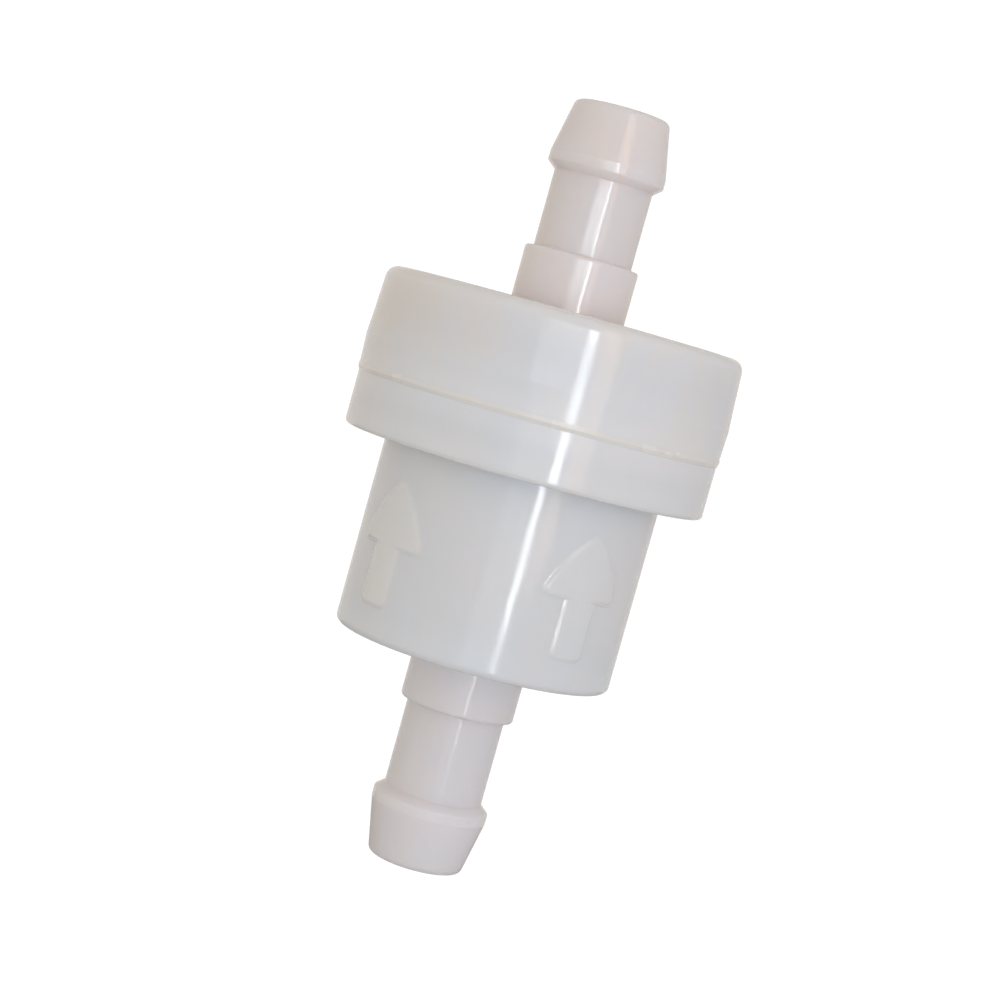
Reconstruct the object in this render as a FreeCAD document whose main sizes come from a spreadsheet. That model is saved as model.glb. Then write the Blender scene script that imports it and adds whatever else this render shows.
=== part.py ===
"""Inline fuel filter for a small engine, moulded in natural nylon.

Flow goes up the Z axis: in at the lower barb, round the outside of the strainer, through its mesh,
and out at the upper barb. The origin is the middle of the inlet barb's end face. Millimetres.
"""

import FreeCAD, Part
import os

import Sketcher

doc = FreeCAD.newDocument("fuel_filter")

# ---------------------------------------------------------------------------------------------
# Driving dimensions: alias, value, what it is. Every size in the model comes from this sheet.
# ---------------------------------------------------------------------------------------------
DIMENSIONS = (
    # Barbs, for hose of 6.35 mm (1/4 in) bore
    ("port_radius", 2.0, "bore through each barb"),
    ("port_chamfer", 0.3, "chamfer at the bore's mouths"),
    ("tip_radius", 3.2, "outside of the barb's end face"),
    ("tip_round", 0.45, "rounding of the barb's end"),
    ("crest_radius", 3.95, "land that grips the hose"),
    ("cone_length", 3.7, "end face to land"),
    ("land_length", 0.65, "cylindrical land"),
    ("barb_back", 0.5, "slope from the land down to the stem"),
    ("stem_radius", 3.35, "stem under the hose"),
    ("inlet_stem", 5.95, "length of the inlet's stem"),
    ("outlet_stem", 5.2, "length of the outlet's stem"),
    ("collar_radius", 3.88, "collar that stops the hose"),
    ("collar_length", 3.75, "length of each collar"),
    ("collar_round", 0.2, "rounding of each collar's end"),
    # Bowl
    ("wall", 1.5, "housing wall"),
    ("floor", 1.6, "floor of the bowl, of the flange cup and roof of the cap"),
    ("bowl_radius", 9.45, "outside of the bowl"),
    ("bowl_length", 12.9, "underside of the bowl to underside of the flange"),
    ("bowl_round", 0.45, "rounding of the bowl's lower edge"),
    ("flange_radius", 12.32, "outside of the flange cup"),
    ("flange_length", 3.9, "underside of the flange to the seam"),
    ("flange_round", 0.3, "rounding of the flange's lower edge"),
    # Cap
    ("cap_seam_radius", 12.39, "outside of the cap at the seam"),
    ("cap_radius", 12.47, "outside of the cap where it is widest"),
    ("cap_top_radius", 12.25, "outside of the cap at its top, after draft"),
    ("cap_swell", 2.2, "seam up to the widest place"),
    ("cap_length", 6.95, "seam to the top of the cap"),
    ("cap_round", 0.8, "rounding of the cap's upper edge"),
    # Joint between the two halves
    ("cup_radius", 10.8, "inside of the flange cup"),
    ("skirt_gap", 0.05, "gap between the cap's skirt and the cup"),
    ("skirt_inner_radius", 9.6, "inside of the cap's skirt"),
    ("bead_depth", 1.1, "how far the melted ring reaches in"),
    ("bead_height", 0.3, "height of the melted ring"),
    ("bead_proud", 0.06, "how far it stands out of the cap's lower edge"),
    ("bead_round", 0.08, "rounding of its outer edge"),
    # Strainer
    ("rim_thickness", 0.8, "clamped rim of the seat ring"),
    ("seal_thickness", 0.5, "ring seal"),
    ("seal_inner_radius", 9.7, "inside of the ring seal"),
    ("core_inner_radius", 4.4, "inside of the support cage"),
    ("core_radius", 5.2, "outside of the support cage"),
    ("mesh_thickness", 0.25, "woven sleeve"),
    ("mesh_lap_angle", 16.0, "how far the sleeve's lap seam reaches round it, in degrees"),
    ("hub_radius", 6.3, "hub and end cap round the sleeve's ends"),
    ("hub_depth", 1.6, "how far the sleeve goes into each end"),
    ("end_gap", 1.7, "bowl floor to the strainer's end cap"),
    ("end_floor", 1.0, "closed bottom of the end cap"),
    ("hoop_height", 0.7, "each hoop of the cage"),
    ("rib_count", 6, "upright ribs of the cage"),
    ("rib_width", 1.0, "width of each rib"),
    ("window_rows", 3, "rows of windows between the hoops"),
    ("fin_count", 3, "centring fins of the end cap"),
    ("fin_reach", 1.3, "how far each fin stands out of the end cap"),
    ("fin_width", 0.8, "thickness of each fin"),
    ("fin_height", 1.6, "height of each fin"),
    # Flow arrows on the bowl
    ("arrow_foot", 2.3, "underside of the bowl to the foot of the arrow"),
    ("arrow_shaft", 3.95, "length of the shaft"),
    ("arrow_head", 4.35, "length of the head"),
    ("arrow_shaft_half", 1.2, "half the shaft's width"),
    ("arrow_head_half", 3.0, "half the head's width"),
    ("arrow_flank", 9.0, "radius of the head's curved flanks"),
    ("arrow_relief", 0.2, "height of the arrow above the bowl"),
    ("arrow_turn_left", -48.5, "left arrow, turned from the front"),
    ("arrow_turn_right", 38.0, "right arrow, turned from the front"),
)

sheet = doc.addObject("Spreadsheet::Sheet", "sizes")
for row, (alias, value, note) in enumerate(DIMENSIONS, start=1):
    sheet.set(f"A{row}", note)
    sheet.set(f"B{row}", str(value))
    sheet.setAlias(f"B{row}", alias)
doc.recompute()


def cells(formula):
    """The formula with each alias written as a cell of the sheet, as setExpression needs it."""
    words = formula.replace("(", "( ").replace(")", " )").split()
    return " ".join(f"sizes.{word}" if word.isidentifier() else word for word in words)


# Heights along the flow axis, and a few radii, each worked out from the driving dimensions.
WORKED_OUT = {
    "inlet_land": "cone_length",
    "inlet_back": "inlet_land + land_length",
    "inlet_stem_low": "inlet_back + barb_back",
    "inlet_collar": "inlet_stem_low + inlet_stem",
    "bowl_bottom": "inlet_collar + collar_length",
    "bowl_floor": "bowl_bottom + floor",
    "flange_bottom": "bowl_bottom + bowl_length",
    "seat": "flange_bottom + floor",
    "rim_top": "seat + rim_thickness",
    "skirt_bottom": "rim_top + seal_thickness",
    "seam": "flange_bottom + flange_length",
    "bead_low": "seam - bead_height / 2",
    "bead_high": "seam + bead_height / 2",
    "cap_widest": "seam + cap_swell",
    "cap_top": "seam + cap_length",
    "cap_roof": "cap_top - floor",
    "outlet_collar": "cap_top + collar_length",
    "outlet_stem_high": "outlet_collar + outlet_stem",
    "outlet_back": "outlet_stem_high + barb_back",
    "outlet_land": "outlet_back + land_length",
    "outlet_tip": "outlet_land + cone_length",
    "end_bottom": "bowl_floor + end_gap",
    "core_bottom": "end_bottom + end_floor",
    "end_top": "core_bottom + hub_depth",
    "hub_bottom": "seat - hub_depth",
    "core_top": "seat + rim_thickness / 2",
    "mesh_radius": "core_radius + mesh_thickness",
    "hub_middle": "(mesh_radius + hub_radius) / 2",
    "window_pitch": "(hub_bottom - end_top + hoop_height) / window_rows",
    "window_half": "core_radius * sin(180deg / rib_count) - rib_width / 2",
    "bowl_inner": "bowl_radius - wall",
    "bead_inner": "flange_radius - bead_depth",
    "skirt_radius": "cup_radius - skirt_gap",
}
for row, (alias, formula) in enumerate(WORKED_OUT.items(), start=len(DIMENSIONS) + 2):
    sheet.set(f"A{row}", formula)
    sheet.set(f"B{row}", "=" + formula)
    sheet.setAlias(f"B{row}", alias)
doc.recompute()


def size(alias):
    """The value of one cell, in millimetres."""
    return float(getattr(sheet, alias))


# ---------------------------------------------------------------------------------------------
# Helpers
# ---------------------------------------------------------------------------------------------
ORIGIN = -1  # the sketch's own horizontal axis, whose first point is the sketch's origin
UPRIGHT = -2  # the sketch's own vertical axis


def new_body(label):
    body = doc.addObject("PartDesign::Body", label)
    body.Label = label
    return body


def new_sketch(body, name, plane="XZ_Plane"):
    """A sketch on one of the body's own origin planes."""
    sketch = body.newObject("Sketcher::SketchObject", name)
    face = next(f for f in body.Origin.OriginFeatures if f.Role == plane)
    sketch.AttachmentSupport = (face, [""])
    sketch.MapMode = "FlatFace"
    return sketch


def value_of(formula):
    """The present value of a formula of cells, read through a scratch cell of the sheet."""
    sheet.set("D1", "=" + formula)
    sheet.recompute()
    value = sheet.get("D1")
    return float(getattr(value, "Value", value))


def bind(sketch, kind, where, formula):
    """Adds one driving dimension to a sketch and ties it to the sheet."""
    index = sketch.addConstraint(Sketcher.Constraint(kind, *where, value_of(formula)))
    sketch.setExpression(f"Constraints[{index}]", cells(formula))


def pin_point(sketch, edge, end, across, up):
    """Fixes one end of an edge at (across, up) from the origin; "0" puts it on the axis itself."""
    if across == "0":
        sketch.addConstraint(Sketcher.Constraint("PointOnObject", edge, end, UPRIGHT))
    else:
        bind(sketch, "DistanceX", (ORIGIN, 1, edge, end), across)
    if up == "0":
        sketch.addConstraint(Sketcher.Constraint("PointOnObject", edge, end, ORIGIN))
    else:
        bind(sketch, "DistanceY", (ORIGIN, 1, edge, end), up)


def outline(sketch, corners):
    """A closed outline of straight edges through corners, each a pair of formulas (across, up)."""
    places = [tuple(0.0 if f == "0" else value_of(f) for f in corner) for corner in corners]
    points = [FreeCAD.Vector(x, y, 0) for x, y in places]
    count = len(points)
    for i in range(count):
        sketch.addGeometry(Part.LineSegment(points[i], points[(i + 1) % count]), False)
    for i in range(count):
        sketch.addConstraint(Sketcher.Constraint("Coincident", i, 2, (i + 1) % count, 1))
    for i, (across, up) in enumerate(corners):
        pin_point(sketch, i, 1, across, up)


def turned(body, name, corners, angle=None):
    """Turns an outline of (radius, height) corners round the Z axis, once or through an angle."""
    sketch = new_sketch(body, name + "_profile")
    outline(sketch, corners)
    feature = body.newObject("PartDesign::Revolution", name)
    feature.Profile = sketch
    feature.ReferenceAxis = (sketch, ["V_Axis"])
    if angle:
        feature.Midplane = True
        feature.setExpression("Angle", cells(angle))
    else:
        feature.Angle = 360.0
    doc.recompute()
    return feature


def rings_at(shape, radius, height):
    """Names of the circular edges round the Z axis with this radius at this height."""
    found = []
    for number, edge in enumerate(shape.Edges, start=1):
        curve = edge.Curve
        if isinstance(curve, Part.Circle) and abs(curve.Center.z - height) < 1e-4:
            if abs(curve.Radius - radius) < 1e-4 and curve.Center.x**2 + curve.Center.y**2 < 1e-6:
                found.append(f"Edge{number}")
    return found


def rounded(body, base, name, radius, places):
    """A fillet whose radius is a cell, on the circular edges at (radius, height) places."""
    edges = []
    for ring, height in places:
        found = rings_at(base.Shape, value_of(ring), value_of(height))
        if not found:
            raise ValueError(f"{name}: no edge at radius {ring}, height {height}")
        edges += found
    fillet = body.newObject("PartDesign::Fillet", name)
    fillet.Base = (base, edges)
    fillet.setExpression("Radius", cells(radius))
    doc.recompute()
    return fillet


# ---------------------------------------------------------------------------------------------
# Housing
# ---------------------------------------------------------------------------------------------
def make_bowl_shell():
    """Inlet barb, bowl and flange cup as one turned shell, open at the top."""
    body = new_body("bowl_shell")
    shell = turned(body, "bowl_turned", (
        ("port_radius + port_chamfer", "0"),
        ("tip_radius", "0"),
        ("crest_radius", "inlet_land"),
        ("crest_radius", "inlet_back"),
        ("stem_radius", "inlet_stem_low"),
        ("stem_radius", "inlet_collar"),
        ("collar_radius", "inlet_collar"),
        ("collar_radius", "bowl_bottom"),
        ("bowl_radius", "bowl_bottom"),
        ("bowl_radius", "flange_bottom"),
        ("flange_radius", "flange_bottom"),
        ("flange_radius", "bead_low"),
        ("bead_inner", "bead_low"),
        ("bead_inner", "seam"),
        ("cup_radius", "seam"),
        ("cup_radius", "seat"),
        ("bowl_inner", "seat"),
        ("bowl_inner", "bowl_floor"),
        ("port_radius + port_chamfer", "bowl_floor"),
        ("port_radius", "bowl_floor - port_chamfer"),
        ("port_radius", "port_chamfer"),
    ))
    shell = rounded(body, shell, "inlet_tip_round", "tip_round", [("tip_radius", "0")])
    shell = rounded(body, shell, "inlet_collar_round", "collar_round",
                    [("collar_radius", "inlet_collar")])
    shell = rounded(body, shell, "bowl_edge_round", "bowl_round", [("bowl_radius", "bowl_bottom")])
    rounded(body, shell, "flange_edge_round", "flange_round",
            [("flange_radius", "flange_bottom")])
    return body


def make_arrow(name, turn):
    """A raised flow arrow: an upright extrusion kept only within a thin ring round the bowl."""
    sketch = doc.addObject("Sketcher::SketchObject", name + "_outline")
    upright = FreeCAD.Rotation(FreeCAD.Vector(1, 0, 0), 90)
    sketch.Placement = FreeCAD.Placement(FreeCAD.Vector(0, 0, 0), upright)
    head, shaft = size("arrow_head_half"), size("arrow_shaft_half")
    foot = size("bowl_bottom") + size("arrow_foot")
    shoulder = foot + size("arrow_shaft")
    apex = shoulder + size("arrow_head")
    corners = [(head, shoulder), (shaft, shoulder), (shaft, foot), (-shaft, foot),
               (-shaft, shoulder), (-head, shoulder)]
    points = [FreeCAD.Vector(x, y, 0) for x, y in corners]
    top = FreeCAD.Vector(0, apex, 0)
    for start, end in zip(points, points[1:]):
        sketch.addGeometry(Part.LineSegment(start, end), False)
    left_flank, right_flank = len(points) - 1, len(points)
    sketch.addGeometry(flank(top, points[-1]), False)
    sketch.addGeometry(flank(points[0], top), False)

    for i in range(len(points) - 2):
        sketch.addConstraint(Sketcher.Constraint("Coincident", i, 2, i + 1, 1))
    # The arcs run anticlockwise: the right one from shoulder to apex, the left from apex down.
    sketch.addConstraint(Sketcher.Constraint("Coincident", 0, 1, right_flank, 1))
    sketch.addConstraint(Sketcher.Constraint("Coincident", right_flank, 2, left_flank, 1))
    sketch.addConstraint(Sketcher.Constraint("Coincident", left_flank, 2, len(points) - 2, 2))
    sketch.addConstraint(Sketcher.Constraint("PointOnObject", right_flank, 2, UPRIGHT))
    for first, second in (((0, 1), (4, 2)), ((0, 2), (4, 1)), ((1, 2), (3, 1))):
        sketch.addConstraint(Sketcher.Constraint("Symmetric", *first, *second, UPRIGHT))
    bind(sketch, "DistanceX", (ORIGIN, 1, 0, 1), "arrow_head_half")
    bind(sketch, "DistanceX", (ORIGIN, 1, 0, 2), "arrow_shaft_half")
    sketch.addConstraint(Sketcher.Constraint("Vertical", 1))
    sketch.addConstraint(Sketcher.Constraint("Horizontal", 0))
    bind(sketch, "DistanceY", (ORIGIN, 1, 1, 2), "bowl_bottom + arrow_foot")
    bind(sketch, "DistanceY", (1, 2, 1, 1), "arrow_shaft")
    bind(sketch, "DistanceY", (0, 1, right_flank, 2), "arrow_head")
    for arc in (left_flank, right_flank):
        bind(sketch, "Radius", (arc,), "arrow_flank")

    prism = doc.addObject("Part::Extrusion", name + "_prism")
    prism.Base = sketch
    prism.DirMode = "Normal"
    prism.Solid = True
    prism.setExpression("LengthFwd", cells("bowl_radius + arrow_relief + wall"))

    outer = doc.addObject("Part::Cylinder", name + "_outer")
    outer.setExpression("Radius", cells("bowl_radius + arrow_relief"))
    inner = doc.addObject("Part::Cylinder", name + "_inner")
    inner.setExpression("Radius", cells("bowl_radius - wall / 2"))
    for cylinder in (outer, inner):
        cylinder.setExpression("Height", cells("flange_bottom"))
    ring = doc.addObject("Part::Cut", name + "_ring")
    ring.Base, ring.Tool = outer, inner

    arrow = doc.addObject("Part::Common", name)
    arrow.Base, arrow.Tool = prism, ring
    arrow.setExpression(".Placement.Rotation.Angle", cells(turn))
    return arrow


def flank(start, end):
    """An arc from start to end, anticlockwise, with the arrow's flank radius."""
    radius = size("arrow_flank")
    chord = end - start
    rise = radius - (radius**2 - (chord.Length / 2) ** 2) ** 0.5
    outwards = FreeCAD.Vector(chord.y, -chord.x, 0).normalize()
    middle = (start + end) * 0.5 + outwards * rise
    return Part.Arc(start, middle, end)


def make_inlet_bowl():
    """The whole lower moulding: the turned shell with its two arrows."""
    bowl = doc.addObject("Part::MultiFuse", "inlet_bowl")
    bowl.Shapes = [
        make_bowl_shell(),
        make_arrow("left_arrow", "arrow_turn_left"),
        make_arrow("right_arrow", "arrow_turn_right"),
    ]
    bowl.Refine = True
    bowl.Label = "inlet_bowl"
    return bowl


def make_outlet_cap():
    """The whole upper moulding: cap, skirt inside the flange cup, collar, stem and outlet barb."""
    body = new_body("outlet_cap")
    shell = turned(body, "cap_turned", (
        ("port_radius", "cap_roof + port_chamfer"),
        ("port_radius", "outlet_tip - port_chamfer"),
        ("port_radius + port_chamfer", "outlet_tip"),
        ("tip_radius", "outlet_tip"),
        ("crest_radius", "outlet_land"),
        ("crest_radius", "outlet_back"),
        ("stem_radius", "outlet_stem_high"),
        ("stem_radius", "outlet_collar"),
        ("collar_radius", "outlet_collar"),
        ("collar_radius", "cap_top"),
        ("cap_top_radius", "cap_top"),
        ("cap_radius", "cap_widest"),
        ("cap_seam_radius", "bead_high"),
        ("bead_inner", "bead_high"),
        ("bead_inner", "seam"),
        ("skirt_radius", "seam"),
        ("skirt_radius", "skirt_bottom"),
        ("skirt_inner_radius", "skirt_bottom"),
        ("skirt_inner_radius", "cap_roof"),
        ("port_radius + port_chamfer", "cap_roof"),
    ))
    shell = rounded(body, shell, "outlet_tip_round", "tip_round", [("tip_radius", "outlet_tip")])
    shell = rounded(body, shell, "outlet_collar_round", "collar_round",
                    [("collar_radius", "outlet_collar")])
    rounded(body, shell, "cap_edge_round", "cap_round", [("cap_top_radius", "cap_top")])
    return body


def make_weld_bead():
    """The melted ring between the two halves; its outer edge bulges a little past the flange."""
    body = new_body("weld_bead")
    bead = turned(body, "bead_turned", (
        ("bead_inner", "bead_low"),
        ("flange_radius", "bead_low"),
        ("cap_seam_radius + bead_proud", "seam"),
        ("cap_seam_radius", "bead_high"),
        ("bead_inner", "bead_high"),
    ))
    rounded(body, bead, "bead_edge_round", "bead_round",
            [("cap_seam_radius + bead_proud", "seam")])
    return body


# ---------------------------------------------------------------------------------------------
# Strainer
# ---------------------------------------------------------------------------------------------
def make_strainer_core():
    """Support cage: a tube cut through by rows of windows, which leaves hoops and ribs."""
    body = new_body("strainer_core")
    tube = turned(body, "core_turned", (
        ("core_inner_radius", "core_bottom"),
        ("core_radius", "core_bottom"),
        ("core_radius", "core_top"),
        ("core_inner_radius", "core_top"),
    ))
    count = int(size("rib_count"))
    rows = int(size("window_rows"))
    windows = new_sketch(body, "window_outlines")
    for row in range(rows):
        low = f"end_top + {row} * window_pitch"
        high = f"end_top + {row + 1} * window_pitch - hoop_height"
        add_rectangle(windows, "window_half", low, high)
    pocket = body.newObject("PartDesign::Pocket", "windows")
    pocket.Profile = windows
    pocket.setExpression("Length", cells("core_radius + wall"))
    pocket.Reversed = True
    doc.recompute()
    if pocket.Shape.Volume > tube.Shape.Volume - 1e-3:
        raise ValueError("the windows cut nothing")
    pattern = body.newObject("PartDesign::PolarPattern", "windows_round")
    pattern.Originals = [pocket]
    upright = next(f for f in body.Origin.OriginFeatures if f.Role == "Z_Axis")
    pattern.Axis = (upright, [""])
    pattern.Angle = 360.0
    pattern.Occurrences = count
    body.Tip = pattern
    doc.recompute()
    if pattern.Shape.Volume > pocket.Shape.Volume - 1e-3:
        raise ValueError("the windows were not repeated")
    return body


def add_rectangle(sketch, half, low, high):
    """An upright rectangle, even about the vertical axis, between two heights."""
    x, bottom, top = value_of(half), value_of(low), value_of(high)
    points = [FreeCAD.Vector(*p, 0) for p in ((-x, bottom), (x, bottom), (x, top), (-x, top))]
    first = sketch.GeometryCount
    for i in range(4):
        sketch.addGeometry(Part.LineSegment(points[i], points[(i + 1) % 4]), False)
    for i in range(4):
        sketch.addConstraint(
            Sketcher.Constraint("Coincident", first + i, 2, first + (i + 1) % 4, 1))
    for pair in (((first, 1), (first, 2)), ((first + 2, 2), (first + 2, 1))):
        sketch.addConstraint(Sketcher.Constraint("Symmetric", *pair[0], *pair[1], UPRIGHT))
    bind(sketch, "DistanceX", (ORIGIN, 1, first, 2), half)
    bind(sketch, "DistanceX", (ORIGIN, 1, first + 2, 1), half)
    bind(sketch, "DistanceY", (ORIGIN, 1, first, 2), low)
    bind(sketch, "DistanceY", (ORIGIN, 1, first + 2, 1), high)


def make_strainer_mesh():
    """The cloth sleeve: a thin tube with its lap seam, a second layer over a narrow strip."""
    body = new_body("strainer_mesh")
    turned(body, "sleeve_turned", (
        ("core_radius", "core_bottom"),
        ("mesh_radius", "core_bottom"),
        ("mesh_radius", "core_top"),
        ("core_radius", "core_top"),
    ))
    turned(body, "lap_seam", (
        ("core_radius + mesh_thickness / 2", "end_top"),
        ("mesh_radius + mesh_thickness", "end_top"),
        ("mesh_radius + mesh_thickness", "hub_bottom"),
        ("core_radius + mesh_thickness / 2", "hub_bottom"),
    ), "mesh_lap_angle")
    return body


def make_strainer_seat_ring():
    """Clamped rim with a hub below it; a groove in the hub holds the core and the sleeve."""
    body = new_body("strainer_seat_ring")
    turned(body, "seat_ring_turned", (
        ("core_inner_radius", "core_top"),
        ("mesh_radius", "core_top"),
        ("mesh_radius", "hub_bottom"),
        ("hub_radius", "hub_bottom"),
        ("hub_radius", "seat"),
        ("cup_radius - skirt_gap", "seat"),
        ("cup_radius - skirt_gap", "rim_top"),
        ("core_inner_radius", "rim_top"),
    ))
    return body


def make_strainer_end_cap():
    """Closed cup under the core, with small fins that keep it in the middle of the bowl."""
    body = new_body("strainer_end_cap")
    turned(body, "end_cap_turned", (
        ("0", "end_bottom"),
        ("hub_radius", "end_bottom"),
        ("hub_radius", "end_top"),
        ("mesh_radius", "end_top"),
        ("mesh_radius", "core_bottom"),
        ("0", "core_bottom"),
    ))
    outline_sketch = new_sketch(body, "fin_outline")
    outline(outline_sketch, (
        ("hub_middle", "end_bottom"),
        ("hub_radius + fin_reach", "end_bottom"),
        ("hub_radius + fin_reach", "end_bottom + fin_height / 2"),
        ("hub_middle", "end_bottom + fin_height"),
    ))
    fin = body.newObject("PartDesign::Pad", "fin")
    fin.Profile = outline_sketch
    fin.SideType = "Symmetric"
    fin.setExpression("Length", cells("fin_width"))
    doc.recompute()
    pattern = body.newObject("PartDesign::PolarPattern", "fins_round")
    pattern.Originals = [fin]
    upright = next(f for f in body.Origin.OriginFeatures if f.Role == "Z_Axis")
    pattern.Axis = (upright, [""])
    pattern.Angle = 360.0
    pattern.Occurrences = int(size("fin_count"))
    body.Tip = pattern
    doc.recompute()
    return body


def make_seat_seal():
    """Flat ring squeezed between the strainer's rim and the cap's skirt."""
    body = new_body("seat_seal")
    turned(body, "seal_turned", (
        ("seal_inner_radius", "rim_top"),
        ("skirt_radius", "rim_top"),
        ("skirt_radius", "skirt_bottom"),
        ("seal_inner_radius", "skirt_bottom"),
    ))
    return body


# ---------------------------------------------------------------------------------------------
# Build, check and write
# ---------------------------------------------------------------------------------------------
PIECES = (
    make_inlet_bowl(),
    make_outlet_cap(),
    make_weld_bead(),
    make_strainer_core(),
    make_strainer_mesh(),
    make_strainer_seat_ring(),
    make_strainer_end_cap(),
    make_seat_seal(),
)
sheet.clear("D1")
doc.recompute()

for item in doc.Objects:
    if {"Invalid", "Error"} & set(item.State):
        raise ValueError(f"{item.Label} did not build: {item.State}")

os.makedirs("parts", exist_ok=True)
for piece in PIECES:
    shape = piece.Shape
    if shape.isNull() or not shape.isValid() or len(shape.Solids) != 1:
        raise ValueError(f"{piece.Label}: not one valid solid")
    shape.exportStep(f"parts/{piece.Label}.step")
    box = shape.BoundBox
    print(f"{piece.Label:20} {shape.Volume:9.2f} mm3  Z {box.ZMin:6.2f} to {box.ZMax:6.2f}"
          f"  width {box.XLength:6.2f}")
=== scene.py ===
# %% [markdown]
# # An inline fuel filter in milky nylon
#
# The object is a small two-piece housing with a hose barb at each end and a mesh strainer
# inside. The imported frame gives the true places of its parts. This script puts the looks round
# it: the visible mouldings are worked out again as fine surfaces, and each finish is built
# from nodes.
#
# We start by loading the frame and by keeping the box that it fills. Everything is in metres,
# so a value named `MM` turns a size that is easier to say in millimetres into Blender's unit.

# %% Load the frame and keep its box
import math

import bpy
import numpy as np
from mathutils import Matrix, Vector


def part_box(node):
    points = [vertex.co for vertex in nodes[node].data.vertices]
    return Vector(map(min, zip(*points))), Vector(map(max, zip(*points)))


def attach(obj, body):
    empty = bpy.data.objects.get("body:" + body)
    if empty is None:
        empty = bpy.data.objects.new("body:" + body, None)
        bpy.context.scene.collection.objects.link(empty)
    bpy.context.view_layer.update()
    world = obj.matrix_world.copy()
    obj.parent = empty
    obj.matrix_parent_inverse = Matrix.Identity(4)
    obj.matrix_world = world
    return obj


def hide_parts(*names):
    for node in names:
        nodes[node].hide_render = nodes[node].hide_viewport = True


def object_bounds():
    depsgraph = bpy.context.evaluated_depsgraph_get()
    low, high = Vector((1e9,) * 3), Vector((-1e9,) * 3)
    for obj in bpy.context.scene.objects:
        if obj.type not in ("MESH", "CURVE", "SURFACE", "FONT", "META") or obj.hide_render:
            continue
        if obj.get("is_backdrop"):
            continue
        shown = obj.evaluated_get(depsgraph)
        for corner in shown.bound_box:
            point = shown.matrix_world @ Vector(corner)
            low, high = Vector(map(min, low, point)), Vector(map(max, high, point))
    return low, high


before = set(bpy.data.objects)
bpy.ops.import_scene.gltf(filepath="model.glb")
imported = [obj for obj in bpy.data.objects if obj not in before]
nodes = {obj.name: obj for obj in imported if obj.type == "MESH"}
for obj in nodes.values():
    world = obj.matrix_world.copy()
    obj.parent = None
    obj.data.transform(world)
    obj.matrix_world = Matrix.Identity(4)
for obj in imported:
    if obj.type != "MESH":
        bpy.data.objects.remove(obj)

cad_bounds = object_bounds()
MM = 0.001
print("nodes:", ", ".join(sorted(nodes)))

# %% [markdown]
# ## Heights and radii
#
# The filter is round about the Z axis, so a handful of radii and heights describe all of it.
# The rest follow from short lengths, such as the length of a barb's cone, so a change in one
# of them carries through.

# %% Sizes shared by the mouldings, in metres
bowl_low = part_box("inlet_bowl")[0]
cap_low, cap_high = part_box("outlet_cap")
bead_low, bead_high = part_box("weld_bead")

TIP_R, CREST_R, STEM_R, COLLAR_R, PORT_R = 3.2 * MM, 3.95 * MM, 3.35 * MM, 3.88 * MM, 2.0 * MM
CONE, LAND, BARB_BACK, COLLAR = 3.7 * MM, 0.65 * MM, 0.5 * MM, 3.75 * MM
INLET_STEM, OUTLET_STEM = 5.95 * MM, 5.2 * MM
PORT_CHAMFER, WALL, FLOOR = 0.3 * MM, 1.5 * MM, 1.6 * MM
BOWL_R, FLANGE_R, CUP_R = 9.45 * MM, 12.32 * MM, 10.8 * MM
CAP_SEAM_R, CAP_R, CAP_WAIST_R, CAP_TOP_R = 12.39 * MM, 12.47 * MM, 12.32 * MM, 12.22 * MM
CAP_SWELL, SKIRT_R, SKIRT_INNER_R = 2.2 * MM, 10.75 * MM, 9.6 * MM
BEAD_INNER_R = FLANGE_R - 1.1 * MM
BOWL_HEIGHT = 12.9 * MM  # from the bowl's bottom up to the flange

seam = (bead_low.z + bead_high.z) / 2
inlet_crest = bowl_low.z + CONE + LAND
bowl_bottom = inlet_crest + BARB_BACK + INLET_STEM + COLLAR
flange_bottom = bowl_bottom + BOWL_HEIGHT
seat = flange_bottom + FLOOR
outlet_crest = cap_high.z - CONE - LAND
cap_top = outlet_crest - BARB_BACK - OUTLET_STEM - COLLAR
print(f"length {1000 * (cap_high.z - bowl_low.z):.2f} mm, seam at {1000 * seam:.2f} mm")

# %% [markdown]
# ## Camera
#
# The viewpoint is close: about three lengths of the filter away, level with the upper part of
# the bowl and looking slightly down. The camera is rolled, so that the filter leans to the
# right in the frame. We could set Euler angles by trial, but it is clearer to build the
# camera's three axes from a pitch, a yaw and a roll, and to hand Blender the finished matrix.

# %% Camera
CAMERA_DISTANCE, CAMERA_HEIGHT = 154.0 * MM, 35.87 * MM
PITCH, YAW, ROLL = math.radians(-4.0), math.radians(-0.35), math.radians(15.6)
LENS, SENSOR = 83.1, 36.0


def camera_matrix():
    """Right, up and backward axes: yaw about Z, then pitch, then roll about the view line."""
    level = Vector((math.cos(YAW), -math.sin(YAW), 0))
    ahead = Vector((math.sin(YAW) * math.cos(PITCH), math.cos(YAW) * math.cos(PITCH),
                    math.sin(PITCH)))
    upright = level.cross(ahead)
    right = level * math.cos(ROLL) + upright * math.sin(ROLL)
    up = upright * math.cos(ROLL) - level * math.sin(ROLL)
    turned = Matrix((right, up, -ahead)).transposed().to_4x4()
    place = Vector((0, -CAMERA_DISTANCE, bowl_low.z + CAMERA_HEIGHT))
    return Matrix.Translation(place) @ turned


lens = bpy.data.cameras.new("camera")
lens.lens, lens.sensor_width = LENS, SENSOR
lens.clip_start, lens.clip_end = 5 * MM, 20.0
camera = bpy.data.objects.new("camera", lens)
camera.matrix_world = camera_matrix()
bpy.context.scene.collection.objects.link(camera)
bpy.context.scene.camera = camera
print("camera at", tuple(round(v * 1000, 1) for v in camera.location), "mm")

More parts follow.
